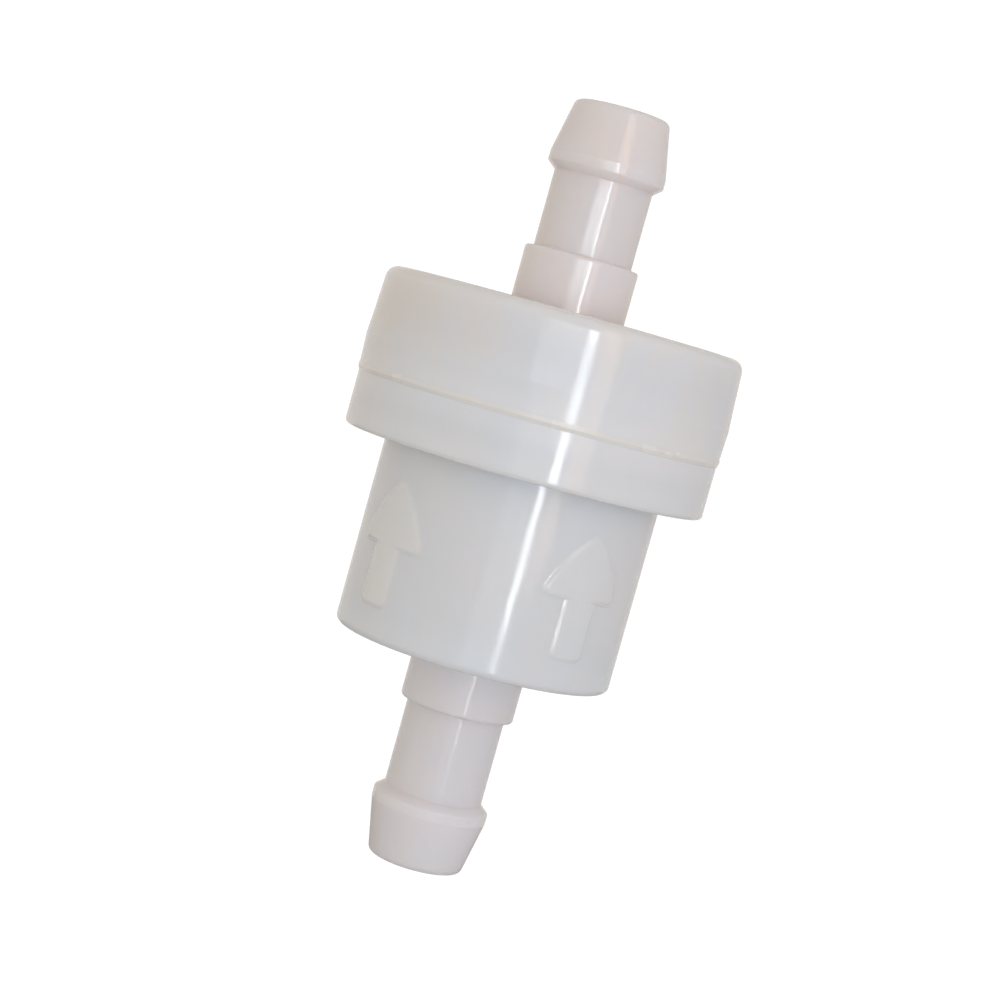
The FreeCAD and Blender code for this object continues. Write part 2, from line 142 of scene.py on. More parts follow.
# %% [markdown]
# ## Turned surfaces
#
# Each moulding is a closed outline carried once round the axis, as a lathe would turn it.
# Blender's Screw modifier could do that, but a grid that we compute ourselves lets the columns
# bend round the raised arrows later on. The outline's corners get true arcs, and every
# straight stretch gets a row close to each of its ends, which keeps the smooth shading flat
# right up to the rounding.

# %% Rounded outlines
ARC_STEPS = 7
HOLD = 0.03 * MM  # how far from a rounding its holding row lies


def rounded_outline(corners, longest=0.8 * MM):
    """A closed outline of (radius, height) points from (radius, height, rounding) corners.

    At a corner with rounding q and half angle a between its sides, the arc starts q / tan(a)
    along each side. Its points are centre + q (cos t, sin t) for evenly spaced t. A straight
    stretch between two arcs is divided so that no step is over `longest`.
    """
    corners = np.array(corners, float)
    pieces = []
    for i in range(len(corners)):
        here, rounding = corners[i, :2], corners[i, 2]
        back = corners[i - 1, :2] - here
        ahead = corners[(i + 1) % len(corners), :2] - here
        back /= np.linalg.norm(back)
        ahead /= np.linalg.norm(ahead)
        half = math.acos(np.clip(back @ ahead, -1, 1)) / 2
        start = here + back * rounding / math.tan(half)
        end = here + ahead * rounding / math.tan(half)
        middle = here + (back + ahead) / np.linalg.norm(back + ahead) * rounding / math.sin(half)
        first = math.atan2(*(start - middle)[::-1])
        sweep = math.atan2(*(end - middle)[::-1]) - first
        sweep = (sweep + math.pi) % (2 * math.pi) - math.pi
        angles = first + sweep * np.linspace(0, 1, ARC_STEPS)
        pieces.append(middle + rounding * np.column_stack((np.cos(angles), np.sin(angles))))
    points = []
    for arc, following in zip(pieces, pieces[1:] + pieces[:1]):
        points.append(arc)
        points.append(straight_rows(arc[-1], following[0], longest))
    return np.concatenate(points)


def straight_rows(start, end, longest):
    """Rows between two points: one HOLD away from each end, and even steps between those."""
    length = np.linalg.norm(end - start)
    if length < 4 * HOLD:
        return np.empty((0, 2))
    steps = max(int(math.ceil(length / longest)), 1)
    shares = np.concatenate(([HOLD / length], np.arange(1, steps) / steps, [1 - HOLD / length]))
    return start + np.outer(shares, end - start)


def mesh_from(name, vertices, faces):
    """A smooth-shaded object from whole arrays of vertices and quads."""
    mesh = bpy.data.meshes.new(name)
    mesh.from_pydata(vertices.reshape(-1, 3), [], faces.reshape(-1, faces.shape[-1]))
    mesh.shade_smooth()
    mesh.validate()
    piece = bpy.data.objects.new(name, mesh)
    bpy.context.scene.collection.objects.link(piece)
    return piece


def closed_grid(columns, rows):
    """Quads of a grid that closes both ways, like the surface of a ring."""
    i, j = np.meshgrid(np.arange(columns), np.arange(rows), indexing="ij")
    right, up = (i + 1) % columns, (j + 1) % rows
    return np.stack((i * rows + j, right * rows + j, right * rows + up, i * rows + up), -1)


def turn(name, radii, heights, angles):
    """Points (r cos a, r sin a, z); each input is an array of columns by rows, or widens to it."""
    radii, heights, angles = np.broadcast_arrays(radii, heights, angles)
    points = np.stack((radii * np.cos(angles), radii * np.sin(angles), heights), -1)
    piece = mesh_from(name, points, closed_grid(*radii.shape))
    print(f"{name}: {len(piece.data.polygons)} quads")
    return piece


def ring_of_angles(columns):
    """Even angles round the axis, one for each column."""
    return np.linspace(0, 2 * np.pi, columns, endpoint=False)[:, None]


# %% [markdown]
# ## Outlet cap
#
# The upper moulding is one shell: barb, stem, collar, the wide cap, and the skirt that drops
# inside the flange below. Going round its section anticlockwise, seen with the axis on the
# left, makes the faces point outwards. The roundings are those of a mould: tight where two
# halves of the tool meet, and larger on the cap's upper edge. The cap's side spreads to a
# swell just above the seam. On the way down it is hollowed by a few hundredths of a
# millimetre. No ruler would show that, but a reflection turns twice as far as the wall that
# makes it, so the highlights do.

# %% Outlet cap
CRISP, SHARP, EASED = 0.01 * MM, 0.05 * MM, 0.12 * MM  # roundings, from a knife edge up
TIP_ROUND, COLLAR_ROUND, CAP_ROUND, CORE_ROUND = 0.45 * MM, 0.2 * MM, 0.8 * MM, 0.4 * MM
WAIST_ROUND, SWELL_ROUND = 140 * MM, 0.5 * MM


def barb_corners(tip, way, crest, stem_end):
    """Corners of one barb from its end face to its stem, going away from the tip."""
    return [
        (TIP_R, tip, TIP_ROUND),
        (CREST_R, tip - way * CONE, EASED),
        (CREST_R, crest, EASED),
        (STEM_R, crest - way * BARB_BACK, EASED),
        (STEM_R, stem_end, EASED),
        (COLLAR_R, stem_end, COLLAR_ROUND),
    ]


def port_corners(outer, inner, way):
    """Corners of the bore, from its mouth in the barb's end face to the inside of the shell."""
    return [
        (PORT_R + PORT_CHAMFER, inner, SHARP),
        (PORT_R, inner + way * PORT_CHAMFER, SHARP),
        (PORT_R, outer - way * PORT_CHAMFER, SHARP),
        (PORT_R + PORT_CHAMFER, outer, SHARP),
    ]


def cap_section():
    """The cap's outline: through the bore, down the outside, and back up the skirt's inside."""
    roof = cap_top - FLOOR
    swell = seam + CAP_SWELL
    down = barb_corners(cap_high.z, 1, outlet_crest, cap_top + COLLAR)
    body = [
        (COLLAR_R, cap_top, EASED),
        (CAP_TOP_R, cap_top, CAP_ROUND),
        (CAP_WAIST_R, (cap_top + swell) / 2, WAIST_ROUND),
        (CAP_R, swell, SWELL_ROUND),
        (CAP_SEAM_R, bead_high.z, CRISP),
        (BEAD_INNER_R, bead_high.z, CRISP),
        (BEAD_INNER_R, seam, SHARP),
        (SKIRT_R, seam, SHARP),
        (SKIRT_R, cap_low.z, SHARP),
        (SKIRT_INNER_R, cap_low.z, SHARP),
        (SKIRT_INNER_R, roof, CORE_ROUND),
    ]
    corners = port_corners(cap_high.z, roof, 1) + down + body
    return rounded_outline(corners)[::-1]


CAP_COLUMNS = 240
section = cap_section()
around = ring_of_angles(CAP_COLUMNS)
cap_shell = turn("outlet_cap_moulding", section[:, 0], section[:, 1], around)
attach(cap_shell, "root")
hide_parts("outlet_cap")

# %% [markdown]
# ## Flow arrows
#
# Two raised arrows on the bowl point along the flow. A boolean with an arrow-shaped block
# would give a hard, badly shaded edge. Instead the bowl's own grid carries them. Each vertex
# is asked how far it lies inside the arrow's outline, laid flat round the bowl, and is lifted
# by a smooth step of that distance. The columns are also drawn together along the outline, so
# the step is crisp there and the rest of the bowl stays light. The lift, times a share for each
# arrow, is also kept in an attribute named "raised", so that the finish can paint an arrow's
# face a little lighter than the wall round it. That is painted light: the left arrow, which
# faces the warm light on the left, gets all of it and the right one less.

# %% The arrow's outline, and the distance to it
ARROW_FOOT, ARROW_SHAFT, ARROW_HEAD = 2.3 * MM, 3.95 * MM, 4.35 * MM
SHAFT_HALF, HEAD_HALF, FLANK_R = 1.2 * MM, 3.0 * MM, 9.0 * MM
RELIEF = 0.13 * MM
EDGE = 0.2 * MM  # half the width of the arrow's sloping edge
BLUNT = 0.45 * MM  # rounding of the arrow's outward corners
ARROW_TURNS = np.radians([-90 - 48.5, -90 + 38])  # where the arrows' middles are, round the axis
ARROW_REACH = 4.4 * MM  # how far each side of an arrow the columns are bent
ARROW_LIGHT_SHARE = (1.0, 0.3)  # painted light: how much lighter each arrow's face is painted, as a share of its tint

foot_z = bowl_bottom + ARROW_FOOT
shoulder_z = foot_z + ARROW_SHAFT
apex_z = shoulder_z + ARROW_HEAD


def flank_points(inset=0.0, count=24):
    """The head's right flank: an arc of radius FLANK_R - inset from the shoulder to the apex.

    Its middle is FLANK_R from both ends of the flank. The arc starts where it is `inset` above
    the shoulder, at the angle asin(height / radius), and ends on the arrow's upright axis.
    """
    start, end = np.array((HEAD_HALF, shoulder_z)), np.array((0.0, apex_z))
    chord = end - start
    length = np.linalg.norm(chord)
    inward = np.array((-chord[1], chord[0])) / length
    middle = (start + end) / 2 + inward * math.sqrt(FLANK_R**2 - length**2 / 4)
    radius = FLANK_R - inset
    first = math.asin((shoulder_z + inset - middle[1]) / radius)
    last = math.acos(-middle[0] / radius)
    angles = np.linspace(first, last, count)
    return middle + radius * np.column_stack((np.cos(angles), np.sin(angles)))


def arrow_outline(inset):
    """The closed outline, drawn in by `inset`: right flank, its mirror image, and the shaft."""
    right = flank_points(inset)
    left = right[-2::-1] * (-1, 1)
    half, shoulder, foot = SHAFT_HALF - inset, shoulder_z + inset, foot_z + inset
    shaft = [(-half, shoulder), (-half, foot), (half, foot), (half, shoulder)]
    return np.vstack((right, left, shaft))


def depth_inside(x, z, outline):
    """Signed distance from each (x, z) to the outline, positive inside.

    The distance to a side is that to its nearest point, start + share * side with the share held
    between 0 and 1. A point is inside when an upright line from it crosses the sides an odd
    number of times.
    """
    points = np.stack((x, z), -1)[..., None, :]
    start, side = outline, np.roll(outline, -1, 0) - outline
    share = ((points - start) * side).sum(-1) / (side**2).sum(-1)
    gap = points - start - np.clip(share, 0, 1)[..., None] * side
    nearest = np.sqrt((gap**2).sum(-1)).min(-1)
    end = start + side
    px, pz = points[..., 0], points[..., 1]
    across = (start[:, 0] > px) != (end[:, 0] > px)
    width = np.where(side[:, 0] == 0, 1, side[:, 0])
    height = start[:, 1] + (px - start[:, 0]) * side[:, 1] / width
    inside = (across & (height > pz)).sum(-1) % 2 == 1
    return np.where(inside, nearest, -nearest)


def outline_half_width(z):
    """Half the arrow's width at each height, for drawing the columns in along its sides."""
    flank = flank_points()
    head = np.interp(z, flank[:, 1], flank[:, 0])
    return np.clip(np.where(z < shoulder_z, SHAFT_HALF, head), 2.5 * EDGE, None)


print(f"arrow {1000 * (apex_z - foot_z):.1f} mm long, {2000 * HEAD_HALF:.1f} mm wide")

# %% [markdown]
# ## Inlet bowl
#
# The lower moulding is turned like the cap: barb, stem, collar, the narrow bowl and the wide
# cup that takes the cap's skirt. Its outer wall gets extra rows where the arrows are, tightest
# where an arrow's outline runs level, at the foot and under the head's two points.

# %% Columns and rows of the bowl
PLATEAU, RIM, OUTSIDE = 11, 9, 7  # columns: half an arrow's flat top, its edge, and beyond it
CALM_STEP = math.radians(2.2)  # step between columns where there is no arrow
RIM_HALF = 1.5 * EDGE  # half the width of the band of close columns or rows
BOWL_ROUND, FLANGE_ROUND = 0.45 * MM, 0.3 * MM
TINY = 0.001 * MM  # lengths below this count as nothing


def arrow_columns(half_width):
    """Places round the bowl, in metres from an arrow's middle, for rows with these half widths.

    They are a chain of even steps: across the flat top, closely through the edge band that is
    centred on the half width, and out to ARROW_REACH. The other side is the mirror image.
    """
    half_width = np.asarray(half_width)[None, :]
    top = np.linspace(0, 1, PLATEAU)[:, None] * (half_width - RIM_HALF)
    rim = half_width + np.linspace(-1, 1, RIM)[1:, None] * RIM_HALF
    rim_end = half_width + RIM_HALF
    beyond = rim_end + np.linspace(0, 1, OUTSIDE)[1:, None] * (ARROW_REACH - rim_end)
    half = np.vstack((top, rim, beyond))
    return np.vstack((-half[:0:-1], half))


def bowl_angles(half_width):
    """Angles of all columns, by rows: two groups round the arrows and even steps between."""
    group = arrow_columns(half_width) / BOWL_R
    reach = ARROW_REACH / BOWL_R
    columns = []
    for here, following in zip(ARROW_TURNS, (ARROW_TURNS[1], ARROW_TURNS[0] + 2 * np.pi)):
        columns.append(here + group)
        gap = following - here - 2 * reach
        steps = int(round(gap / CALM_STEP))
        calm = here + reach + gap * np.arange(1, steps) / steps
        columns.append(np.repeat(calm[:, None], group.shape[1], 1))
    return np.vstack(columns)


def wall_rows():
    """Heights of rows up the bowl's wall: close at level edges, even along the rest.

    The numbers of rows keep the quads of an arrow's face about square.
    """
    level = np.linspace(-RIM_HALF, RIM_HALF, 13)
    close = [foot_z + level, shoulder_z + level, apex_z + np.linspace(-10, 2, 20) * EDGE]
    calm = np.concatenate((
        [bowl_bottom + BOWL_ROUND + HOLD],
        np.linspace(bowl_bottom + 0.8 * MM, foot_z - 2 * EDGE, 2),
        np.linspace(foot_z + 2 * EDGE, shoulder_z - 2 * EDGE, 10),
        np.linspace(shoulder_z + 2 * EDGE, apex_z - 11 * EDGE, 22),
        np.linspace(apex_z + 4 * EDGE, flange_bottom - 0.6 * MM, 4),
        [flange_bottom - EASED - HOLD],
    ))
    return np.sort(np.concatenate(close + [calm]))


def bowl_section():
    """The bowl's outline, starting on its outer wall, and the number of rows up that wall."""
    up = barb_corners(bowl_low.z, -1, inlet_crest, bowl_bottom - COLLAR)
    lower = [(COLLAR_R, bowl_bottom, EASED), (BOWL_R, bowl_bottom, BOWL_ROUND)]
    upper = [
        (BOWL_R, flange_bottom, EASED),
        (FLANGE_R, flange_bottom, FLANGE_ROUND),
        (FLANGE_R, bead_low.z, CRISP),
        (BEAD_INNER_R, bead_low.z, CRISP),
        (BEAD_INNER_R, seam, SHARP),
        (CUP_R, seam, SHARP),
        (CUP_R, seat, SHARP),
        (BOWL_R - WALL, seat, SHARP),
        (BOWL_R - WALL, bowl_bottom + FLOOR, CORE_ROUND),
    ]
    port = port_corners(bowl_low.z, bowl_bottom + FLOOR, -1)
    outline = rounded_outline(upper + port + up + lower)
    bottom, top = bowl_bottom + BOWL_ROUND + TINY, flange_bottom - EASED - TINY
    on_wall = abs(outline[:, 0] - BOWL_R) < 0.001 * TINY
    on_wall &= (outline[:, 1] > bottom) & (outline[:, 1] < top)
    heights = wall_rows()
    wall = np.column_stack((np.full(len(heights), BOWL_R), heights))
    return np.vstack((wall, outline[~on_wall])), len(wall)


section, wall_count = bowl_section()
widths = outline_half_width(section[:, 1])
widths[wall_count:] = SHAFT_HALF
angles = bowl_angles(widths)
radii = np.tile(section[:, 0], (len(angles), 1))
print(f"bowl: {len(angles)} columns, {len(section)} rows, {wall_count} of them up the wall")

# %% Raise the arrows and make the bowl
def smooth_step(value):
    """0 below 0, 1 above 1, and 3 v^2 - 2 v^3 between, which is level at both ends."""
    share = np.clip(value, 0, 1)
    return share * share * (3 - 2 * share)


outline = arrow_outline(BLUNT)
wall_heights = np.broadcast_to(section[:wall_count, 1], (len(angles), wall_count))
raised = np.zeros(radii.shape)
# Painted light: each arrow's lift, times its share, says how much lighter its face is painted.
for middle, share in zip(ARROW_TURNS, ARROW_LIGHT_SHARE):
    across = ((angles[:, :wall_count] - middle + np.pi) % (2 * np.pi) - np.pi) * BOWL_R
    near = abs(across).max(1) < 1.2 * ARROW_REACH
    depth = BLUNT + depth_inside(across[near], wall_heights[near], outline)
    lift = smooth_step(depth / (2 * EDGE) + 0.5)
    radii[near, :wall_count] += RELIEF * lift
    raised[near, :wall_count] = share * lift

bowl_shell = turn("inlet_bowl_moulding", radii, section[:, 1], angles)
arrow_light_layer = bowl_shell.data.attributes.new("raised", "FLOAT", "POINT")
arrow_light_layer.data.foreach_set("value", raised.ravel())
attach(bowl_shell, "root")
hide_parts("inlet_bowl")

# %% [markdown]
# ## Weld bead
#
# The halves are welded: one is pressed on the other while the nylon melts, and a little of it
# squeezes out as a thin ridge round the seam. The ridge laps over the edges of both halves as
# a thin lip, as squeezed-out nylon does, and so it hides the two hairline joints. A perfect
# ring would look machined, so the ridge's outer points wander by about a hundredth of a
# millimetre, as the mean of a few waves round the ring. Whole numbers of waves make it close
# on itself.

# %% Weld bead
BEAD_COLUMNS, BEAD_PROUD, BEAD_ROUND = 360, 0.05 * MM, 0.12 * MM
LIP, LIP_THICK, LIP_GAP = 0.12 * MM, 0.03 * MM, 0.004 * MM  # where the bead laps over both halves
WAVES = ((3, 0.3), (7, 1.9), (16, 4.0), (29, 2.2), (53, 5.1))  # (count round the ring, phase)
WANDER, WANDER_IN = 0.010 * MM, 0.4  # how far, and the share of it that pulls the ring inwards
STILL = 0.04 * MM  # how far out of the seam's radius a point has to be to wander fully


def wander(angles, shift):
    """The mean of sines, one for each wave, of count * (angle + shift) + phase."""
    waves = [np.sin(count * angles + phase + shift * count) for count, phase in WAVES]
    return np.mean(waves, 0)


around = ring_of_angles(BEAD_COLUMNS)
lip_low, lip_high = bead_low.z - LIP, bead_high.z + LIP
cap_lip_r = CAP_SEAM_R + 2 * LIP_GAP
bead_outline = rounded_outline([
    (BEAD_INNER_R, bead_low.z, CRISP),
    (FLANGE_R + LIP_GAP, bead_low.z, CRISP),
    (FLANGE_R + LIP_GAP, lip_low, CRISP),
    (FLANGE_R + LIP_THICK, lip_low + LIP_THICK, CRISP),
    (CAP_SEAM_R + BEAD_PROUD, seam, BEAD_ROUND),
    (cap_lip_r + LIP_THICK, lip_high - LIP_THICK, CRISP),
    (cap_lip_r, lip_high, CRISP),
    (cap_lip_r, bead_high.z, CRISP),
    (BEAD_INNER_R, bead_high.z, CRISP),
], 0.4 * MM)
outward = smooth_step((bead_outline[:, 0] - CAP_SEAM_R) / STILL)
radii = bead_outline[:, 0] + WANDER * outward * (wander(around, 0.0) - WANDER_IN)
heights = bead_outline[:, 1] + 1.5 * WANDER * outward * wander(around, 0.8)
bead_ring = turn("weld_bead_ridge", radii, heights, around)
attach(bead_ring, "root")
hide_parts("weld_bead")

# %% [markdown]
# ## Strainer cloth
#
# The sleeve inside is a plain weave: rings run round it, uprights run along it, and each
# passes over one neighbour and under the next. A texture could only suggest that. Here every
# thread is a small tube whose middle line follows a cosine, in step with the threads that it
# crosses. All threads of one kind are computed together, as one array.

# %% Woven threads
cloth_low, cloth_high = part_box("strainer_mesh")
CORE_R, CLOTH_THICK = 5.2 * MM, 0.25 * MM
CLOTH_R = CORE_R + CLOTH_THICK / 2
THREAD_R = CLOTH_THICK / 4.2
UPRIGHTS, RINGS = 112, 35
SIDES, STEPS = 5, 3  # corners of a thread's section, and steps from one crossing to the next


def tubes(name, middle, outward, across, closed):
    """Tubes round many middle lines at once: middle + THREAD_R (outward cos t + across sin t).

    Each input is an array of threads by steps by (x, y, z).
    """
    t = np.linspace(0, 2 * np.pi, SIDES, endpoint=False)[:, None]
    points = middle[:, :, None] + THREAD_R * (
        outward[:, :, None] * np.cos(t) + across[:, :, None] * np.sin(t))
    threads, steps = points.shape[:2]
    faces = closed_grid(steps, SIDES)
    if not closed:
        faces = faces[:-1]
    faces = faces.reshape(-1, 4) + (np.arange(threads) * steps * SIDES)[:, None, None]
    piece = mesh_from(name, points, faces)
    print(f"{name}: {threads} threads, {len(piece.data.polygons)} quads")
    return piece


def weave_rings():
    """Ring k at its own height: radius CLOTH_R + (-1)^k a cos(UPRIGHTS angle / 2)."""
    a = np.linspace(0, 2 * np.pi, UPRIGHTS * STEPS, endpoint=False)[None, :]
    k = np.arange(RINGS)[:, None]
    z = cloth_low.z + (k + 0.5) / RINGS * (cloth_high.z - cloth_low.z)
    r = CLOTH_R + (-1.0) ** k * THREAD_R * np.cos(UPRIGHTS * a / 2)
    outward = np.stack(np.broadcast_arrays(np.cos(a), np.sin(a), 0 * r), -1)
    middle = outward * r[..., None]
    middle[..., 2] = z
    across = np.zeros_like(middle)
    across[..., 2] = -1.0
    return tubes("strainer_cloth_rings", middle, outward, across, True)


def weave_uprights():
    """Upright i at its own angle: radius CLOTH_R - (-1)^i a cos(pi (height) / pitch)."""
    pitch = (cloth_high.z - cloth_low.z) / RINGS
    z = np.linspace(cloth_low.z, cloth_high.z, RINGS * STEPS + 1)[None, :]
    i = np.arange(UPRIGHTS)[:, None]
    a = 2 * np.pi * i / UPRIGHTS
    wave = np.cos(np.pi * ((z - cloth_low.z) / pitch - 0.5))
    r = CLOTH_R - (-1.0) ** i * THREAD_R * wave
    outward = np.stack(np.broadcast_arrays(np.cos(a), np.sin(a), 0 * r), -1)
    middle = outward * r[..., None]
    middle[..., 2] = z
    across = np.stack(np.broadcast_arrays(-np.sin(a), np.cos(a), 0 * r), -1)
    return tubes("strainer_cloth_uprights", middle, outward, across, False)


cloth = [weave_rings(), weave_uprights()]
for threads in cloth:
    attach(threads, "root")
    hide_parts("strainer_mesh")

# %% [markdown]
# ## Finishes
#
# Natural nylon is milky: light goes in, scatters and comes out a little way off. The
# Principled shader's subsurface part does that, and because each moulding is a closed shell
# with a real inner wall, thin places pass more light than thick ones by themselves. On top of
# that the nodes add what a flat colour lacks: clouding that drifts from warm to cool, a slight
# change in gloss, and the shallow orange-peel of a moulded skin.
#
# Colour is also painted by place, to stand in for light and shade. The narrow ports are
# painted lighter and pinker, as a painted glow. The cap next to the weld is painted lighter, as
# painted light. The bowl's lower end is painted darker and bluer, as painted shade. Each such
# tint is a colour that multiplies the base, and that fades in with the radius or the height of
# the point.

# %% A small set of node helpers
def new_finish(name):
    """A new material, its node tree and its Principled shader."""
    material = bpy.data.materials.new(name)
    material.use_nodes = True
    tree = material.node_tree
    return material, tree, tree.nodes["Principled BSDF"]


def noise(tree, size, detail=2.0, stretch=(1, 1, 1)):
    """Noise over Object coordinates whose features are about `size` metres across."""
    place = tree.nodes.new("ShaderNodeTexCoord")
    mapping = tree.nodes.new("ShaderNodeMapping")
    mapping.inputs["Scale"].default_value = stretch
    texture = tree.nodes.new("ShaderNodeTexNoise")
    texture.inputs["Scale"].default_value = 1 / size
    texture.inputs["Detail"].default_value = detail
    tree.links.new(place.outputs["Object"], mapping.inputs["Vector"])
    tree.links.new(mapping.outputs["Vector"], texture.inputs["Vector"])
    return texture.outputs["Fac"]


def ramp(tree, value, low, high, spread=(0.35, 0.65)):
    """Colours from low to high as value goes through the spread."""
    node = tree.nodes.new("ShaderNodeValToRGB")
    first, last = node.color_ramp.elements
    first.position, last.position = spread
    first.color, last.color = (*low, 1), (*high, 1)
    tree.links.new(value, node.inputs["Fac"])
    return node.outputs["Color"]


def between(tree, value, low, high):
    """A number that goes from low to high as value goes from 0.3 to 0.7."""
    node = tree.nodes.new("ShaderNodeMapRange")
    for name, number in (("From Min", 0.3), ("From Max", 0.7), ("To Min", low), ("To Max", high)):
        node.inputs[name].default_value = number
    tree.links.new(value, node.inputs["Value"])
    return node.outputs["Result"]


def math_node(tree, operation, *values):
    """One Math node; each value is a number or an output to link."""
    node = tree.nodes.new("ShaderNodeMath")
    node.operation = operation
    for socket, value in zip(node.inputs, values):
        if isinstance(value, (int, float)):
            socket.default_value = value
        else:
            tree.links.new(value, socket)
    return node.outputs["Value"]


def bump(tree, heights, distance):
    """A normal from a chain of bumps, each a (value, strength) pair."""
    normal = None
    for value, strength in heights:
        node = tree.nodes.new("ShaderNodeBump")
        node.inputs["Strength"].default_value = strength
        node.inputs["Distance"].default_value = distance
        tree.links.new(value, node.inputs["Height"])
        if normal:
            tree.links.new(normal, node.inputs["Normal"])
        normal = node.outputs["Normal"]
    return normal


# %% Natural nylon
WELD_NEAR, WELD_REACH = 0.4 * MM, 2.2 * MM  # light hardly wanders nearer, and freely beyond
WELD_SHARE = 0.01  # what is left of the scattering distance at the weld
CLOUDS, GLOSS_PATCH, PEEL, GRAIN = 5 * MM, 2.2 * MM, 2.6 * MM, 0.35 * MM  # sizes of what varies
PEEL_HEIGHT = 0.05 * MM
NYLON_IOR = 1.53
SCATTER = (1.0, 0.92, 0.86)  # how far red, green and blue wander, as shares of the depth
ARROW_PAINTED_LIGHT = (1.08, 1.05, 0.98)  # painted light: the arrows' faces are painted lighter
PAINTED_PORT_GLOW = ("radius", 4.2 * MM, 6 * MM, (1.07, 0.98, 0.95))  # painted glow: the thin ports are painted lighter and pinker, as if lit through
PAINTED_LOW_SHADE = ("height", bowl_bottom - 1 * MM, bowl_bottom + 7 * MM, (0.94, 0.97, 1.0))  # painted shade: darker and bluer towards the lower end
PAINTED_WELD_LIGHT = ("height", seam, seam + 4.5 * MM, (1.07, 1.075, 1.08))  # painted light: the cap is painted lighter next to the weld


def wander_depth(tree, depth):
    """The scattering distance: depth, shortened in step with the distance to the weld's faces.

    Light that wandered into the hidden faces there would be lost, and the seam would look dark.
    """
    place = tree.nodes.new("ShaderNodeTexCoord")
    parts = tree.nodes.new("ShaderNodeSeparateXYZ")
    tree.links.new(place.outputs["Object"], parts.inputs["Vector"])
    above = math_node(tree, "SUBTRACT", parts.outputs["Z"], seam)
    gap = math_node(tree, "ABSOLUTE", above)
    scale = tree.nodes.new("ShaderNodeMapRange")
    scale.interpolation_type = "SMOOTHSTEP"
    scale.inputs["From Min"].default_value = WELD_NEAR
    scale.inputs["From Max"].default_value = WELD_REACH
    scale.inputs["To Min"].default_value = WELD_SHARE * depth
    scale.inputs["To Max"].default_value = depth
    tree.links.new(gap, scale.inputs["Value"])
    return scale.outputs["Result"]


def tinted(tree, colour, amount, tint):
    """The colour times the tint, as far as the amount, from 0 to 1, says."""
    node = tree.nodes.new("ShaderNodeMix")
    node.data_type, node.blend_type = "RGBA", "MULTIPLY"
    tree.links.new(amount, node.inputs["Factor"])
    tree.links.new(colour, node.inputs[6])
    node.inputs[7].default_value = (*tint, 1)
    return node.outputs[2]


def fading(tree, value, full, none):
    """1 where the value is at `full`, smoothly down to 0 where it is at `none`."""
    node = tree.nodes.new("ShaderNodeMapRange")
    node.interpolation_type = "SMOOTHSTEP"
    for name, number in (("From Min", none), ("From Max", full)):
        node.inputs[name].default_value = number
    tree.links.new(value, node.inputs["Value"])
    return node.outputs["Result"]


def place_tints(tree, colour, tints):
    """The colour with tints that fade by place: each is (which, full at, none at, colour)."""
    place = tree.nodes.new("ShaderNodeTexCoord").outputs["Object"]
    parts = tree.nodes.new("ShaderNodeSeparateXYZ")
    tree.links.new(place, parts.inputs["Vector"])
    x, y = parts.outputs["X"], parts.outputs["Y"]
    squares = [math_node(tree, "MULTIPLY", value, value) for value in (x, y)]
    radius = math_node(tree, "SQRT", math_node(tree, "ADD", *squares))
    measure = {"radius": radius, "height": parts.outputs["Z"]}
    for which, full, none, tint in tints:
        colour = tinted(tree, colour, fading(tree, measure[which], full, none), tint)
    return colour


def nylon(name, warm, cool, depth, rough, tints=(), peel=0.25):
    """Milky nylon that clouds from warm to cool.

    Red light wanders `depth` in it. `rough` is the range of roughness, `tints` are those of
    place_tints, and `peel` is the strength of the orange-peel.
    """
    material, tree, shader = new_finish(name)
    clouds = noise(tree, CLOUDS, 3.0, (1, 1, 0.6))
    colour = place_tints(tree, ramp(tree, clouds, warm, cool), tints)
    raised = tree.nodes.new("ShaderNodeAttribute")
    raised.attribute_name = "raised"
    # Painted light: the arrows' faces are painted lighter, as far as "raised" says.
    colour = tinted(tree, colour, raised.outputs["Fac"], ARROW_PAINTED_LIGHT)
    tree.links.new(colour, shader.inputs["Base Color"])
    gloss = between(tree, noise(tree, GLOSS_PATCH), *rough)
    tree.links.new(gloss, shader.inputs["Roughness"])
    peels = [(noise(tree, PEEL, 1.0), peel), (noise(tree, GRAIN, 2.0), peel * 0.25)]
    tree.links.new(bump(tree, peels, PEEL_HEIGHT), shader.inputs["Normal"])
    shader.inputs["IOR"].default_value = NYLON_IOR
    shader.inputs["Subsurface Weight"].default_value = 1.0
    shader.inputs["Subsurface Radius"].default_value = SCATTER
    tree.links.new(wander_depth(tree, depth), shader.inputs["Subsurface Scale"])
    return material


DEPTH, GLOSS = 2.5 * MM, (0.09, 0.16)
# Painted shade: the cap's nylon is set a little darker and warmer than the bowl's.
cap_nylon = nylon("cap_nylon", (0.85, 0.825, 0.80), (0.82, 0.835, 0.86), DEPTH, GLOSS,
                  (PAINTED_PORT_GLOW, PAINTED_WELD_LIGHT))
bowl_nylon = nylon("bowl_nylon", (0.88, 0.87, 0.87), (0.85, 0.88, 0.91), DEPTH, GLOSS,
                   (PAINTED_PORT_GLOW, PAINTED_LOW_SHADE))
bead_nylon = nylon("melted_nylon", (0.91, 0.89, 0.85), (0.90, 0.89, 0.86), 0.8 * MM, (0.2, 0.3))
inner_nylon = nylon("white_nylon", (0.80, 0.79, 0.76), (0.78, 0.78, 0.78), 0.6 * MM, (0.3, 0.45))
cloth_nylon = nylon("nylon_cloth", (0.82, 0.81, 0.77), (0.79, 0.79, 0.79), 0.1 * MM, (0.25, 0.4))
seal_white = nylon("white_seal", (0.84, 0.84, 0.82), (0.80, 0.80, 0.79), 0.3 * MM, (0.35, 0.5))

